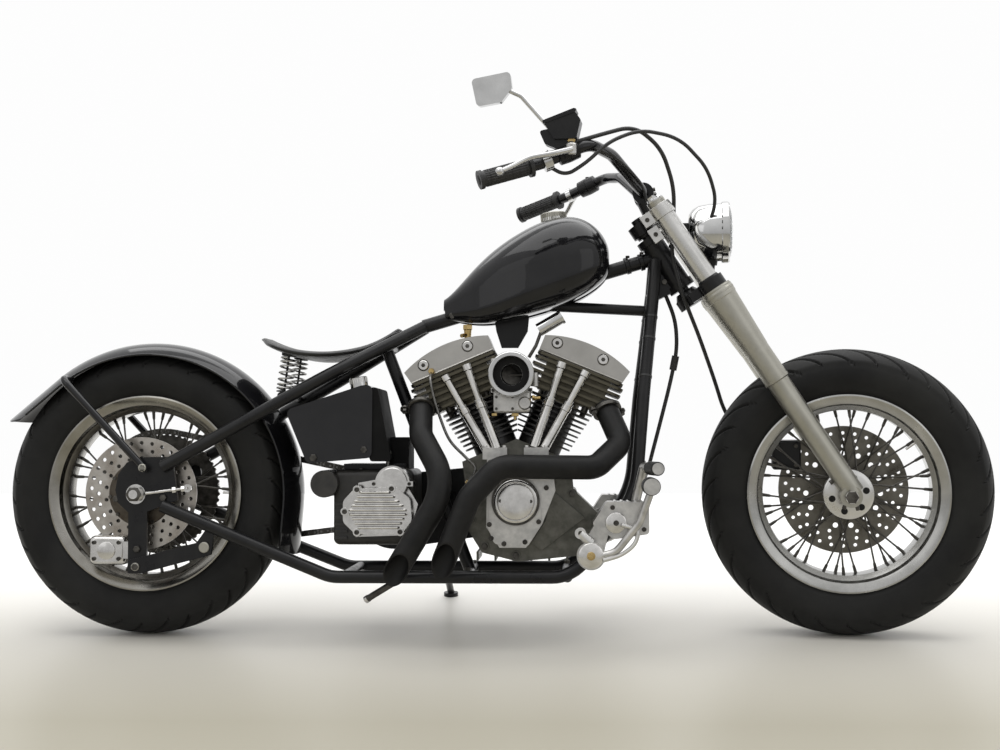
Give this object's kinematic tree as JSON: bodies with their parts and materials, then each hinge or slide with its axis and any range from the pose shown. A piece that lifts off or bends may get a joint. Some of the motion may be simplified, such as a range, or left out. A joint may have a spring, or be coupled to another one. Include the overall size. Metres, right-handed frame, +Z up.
{
  "type": "chopper motorcycle",
  "caption": "Rigid-frame chopper motorcycle with a V-twin engine, raked fork, wire wheels and solo seat, leaning on its side stand.",
  "frame": {"origin": "on the floor, under the middle of the bounding box, with the machine leaning on its side stand", "axes": "+X forward along the machine, +Y to its left, the side it leans to, +Z up"},
  "size_m": [2.2392, 0.8222, 1.2405],
  "materials": {
    "black_gloss": "gloss black paint",
    "black_matt": "matt black heat-proof coat",
    "black_satin": "satin black powder coat",
    "cast": "bead-blasted cast aluminium",
    "champagne": "satin nickel",
    "chrome": "chrome plate",
    "dark_steel": "dark oiled steel",
    "disc_steel": "ground steel",
    "engine_grey": "grey cast alloy",
    "fin_black": "black finned alloy",
    "leather": "black leather",
    "polished": "polished aluminium",
    "rim_aluminium": "satin aluminium",
    "rim_steel": "tarnished steel",
    "rocker_grey": "satin grey alloy",
    "rubber": "black rubber",
    "tyre_rubber": "black tyre rubber"
  },
  "bodies": {
    "chassis": {"cam_cover": "cast", "carburettor": "cast", "chain": "dark_steel", "clutch_cable": "rubber", "crankcase": "engine_grey", "cylinders": "fin_black", "exhaust_front": "black_matt", "exhaust_rear": "black_matt", "forward_control_left": "cast", "forward_control_right": "cast", "frame_backbone": "black_satin", "frame_cradle_left": "black_satin", "frame_cradle_right": "black_satin", "frame_rear_stays": "black_satin", "fuel_tank": "black_gloss", "gearbox": "fin_black", "gearbox_cover": "polished", "oil_tank": "black_gloss", "primary_cover": "black_satin", "pushrod_tubes": "chrome", "rear_axle": "polished", "rear_caliper": "polished", "rear_fender": "black_gloss", "rocker_boxes": "rocker_grey", "seat": "leather", "seat_mounts": "black_satin", "tank_caps": "chrome"},
    "steering": {"fork_clamps": "black_satin", "fork_left": "champagne", "fork_right": "champagne", "front_axle": "polished", "front_caliper": "black_satin", "grips": "rubber", "hand_controls": "chrome", "handlebar": "black_gloss", "headlamp": "chrome", "mirror": "chrome", "steering_cables": "rubber"},
    "front_wheel": {"front_disc": "disc_steel", "front_rim": "rim_aluminium", "front_tyre": "tyre_rubber"},
    "rear_wheel": {"rear_disc": "disc_steel", "rear_rim": "rim_steel", "rear_sprocket": "dark_steel", "rear_tyre": "tyre_rubber"},
    "side_stand": {"side_stand": "black_satin"}
  },
  "joints": [
    {"name": "rear_wheel_spin", "type": "hinge", "parent": "chassis", "child": "rear_wheel", "pos_m": [-0.79012, -0.08875, 0.32017], "axis": [0, 0.9925, -0.1219], "continuous": true},
    {"name": "steering_turn", "type": "hinge", "parent": "chassis", "child": "steering", "pos_m": [0.40167, -0.02575, 0.83332], "axis": [-0.5519, 0.1016, 0.8277], "range_deg": [-25.8, 38.2]},
    {"name": "front_wheel_spin", "type": "hinge", "parent": "steering", "child": "front_wheel", "pos_m": [0.79865, -0.09364, 0.32142], "axis": [0.0901, 0.994, -0.062], "continuous": true},
    {"name": "side_stand_fold", "type": "hinge", "parent": "chassis", "child": "side_stand", "pos_m": [-0.10013, 0.05139, 0.09944], "axis": [-0.0812, 0.4414, 0.8936], "range_deg": [0, 74]}
  ]
}
